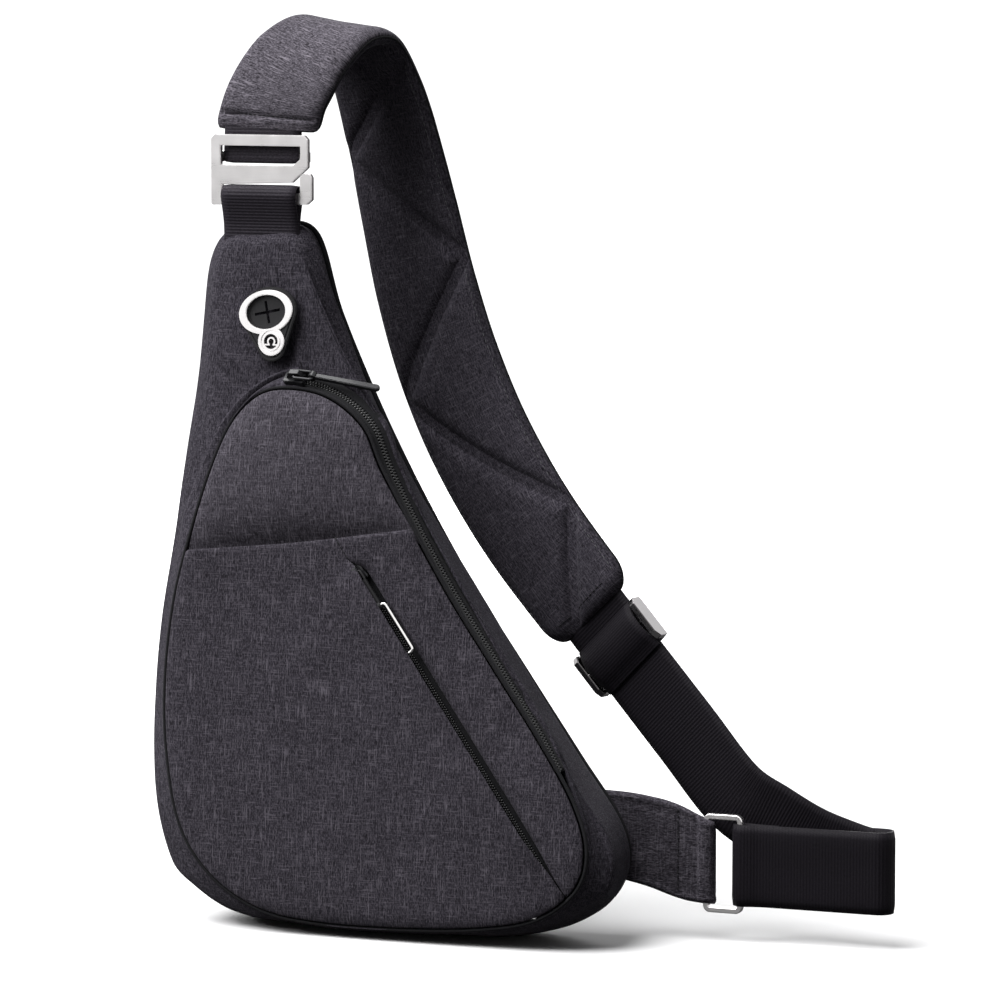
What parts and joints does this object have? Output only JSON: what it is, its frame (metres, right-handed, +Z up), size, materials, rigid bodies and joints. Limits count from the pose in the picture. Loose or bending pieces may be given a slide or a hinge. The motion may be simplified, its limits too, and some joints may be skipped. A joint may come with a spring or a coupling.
{
  "type": "sling bag",
  "caption": "Teardrop sling bag with a padded shoulder strap, flat G-shaped hook, sliding adjuster, arched main zip, diagonal zipped pocket and an earphone port in the neck.",
  "frame": {"origin": "middle of the flat base, on the surface that the bag stands on", "axes": "+Z up, front panel faces -Y, the wing and the lower strap are on the +X side"},
  "size_m": [0.3518, 0.1177, 0.4258],
  "materials": {
    "front_cloth": "matte",
    "gusset_cloth": "matte",
    "pad_cloth": "matte",
    "lining": "matte",
    "foam": "matte",
    "webbing": "matte",
    "zip_cloth": "matte",
    "zip_chain": "satin",
    "slider_metal": "satin",
    "nickel": "satin",
    "rubber": "matte",
    "board": "matte"
  },
  "bodies": {
    "bag": {"front_upper_panel": "front_cloth", "front_pocket_panel": "front_cloth", "front_corner_panel": "front_cloth", "front_lining": "lining", "side_gusset": "gusset_cloth", "front_piping": "lining", "back_binding": "lining", "back_panel": "gusset_cloth", "back_foam": "foam", "back_lining": "lining", "inner_divider": "lining", "base_stiffener": "board", "main_zip_front_tape": "zip_cloth", "main_zip_rear_tape": "zip_cloth", "main_zip_chain": "zip_chain", "pocket_zip_tape": "zip_cloth", "pocket_zip_chain": "zip_chain", "earphone_port": "rubber", "port_ring": "nickel", "port_membrane": "rubber", "neck_webbing": "webbing", "wing_root": "gusset_cloth"},
    "strap": {"hook_webbing_lower": "webbing", "g_hook": "nickel", "hook_cross_bar": "nickel", "hook_webbing_upper": "webbing", "pad_outer_cover": "pad_cloth", "pad_foam": "foam", "pad_inner_cover": "pad_cloth", "lower_webbing": "webbing", "wing_tip": "gusset_cloth", "rectangular_ring": "nickel"},
    "adjuster": {"adjuster_frame": "nickel", "adjuster_bar": "nickel", "adjuster_webbing": "webbing"},
    "main_slider": {"main_zip_slider": "slider_metal"},
    "main_pull": {"main_pull_link": "slider_metal", "main_zip_pull": "rubber"},
    "pocket_slider": {"pocket_zip_slider": "slider_metal"},
    "pocket_pull": {"pocket_pull_tape": "rubber", "pocket_pull_wire": "nickel"}
  },
  "joints": [
    {"name": "strap_swing", "type": "hinge", "parent": "bag", "child": "strap", "pos_m": [-0.0745, 0.012, 0.3295], "axis": [0.5562, 0.0552, -0.8292], "range_deg": [-35, 45]},
    {"name": "adjuster_slide", "type": "slide", "parent": "strap", "child": "adjuster", "axis": [0.6832, -0.1467, -0.7153], "range_m": [0, 0.055]},
    {"name": "main_zip", "type": "hinge", "parent": "bag", "child": "main_slider", "pos_m": [-0.052, -0.0069, 0.20502], "axis": [0, 0.9952, -0.0976], "range_deg": [0, 55]},
    {"name": "main_pull_hinge", "type": "hinge", "parent": "main_slider", "child": "main_pull", "pos_m": [-0.052, -0.00172, 0.25888], "axis": [0, 0.7727, 0.6347], "range_deg": [-100, 0]},
    {"name": "pocket_zip", "type": "slide", "parent": "bag", "child": "pocket_slider", "axis": [0.5904, -0.0788, -0.8032], "range_m": [0, 0.145]},
    {"name": "pocket_pull_hinge", "type": "hinge", "parent": "pocket_slider", "child": "pocket_pull", "pos_m": [-0.01528, -0.01459, 0.16914], "axis": [-0.8071, -0.0576, -0.5876], "range_deg": [0, 150]}
  ]
}
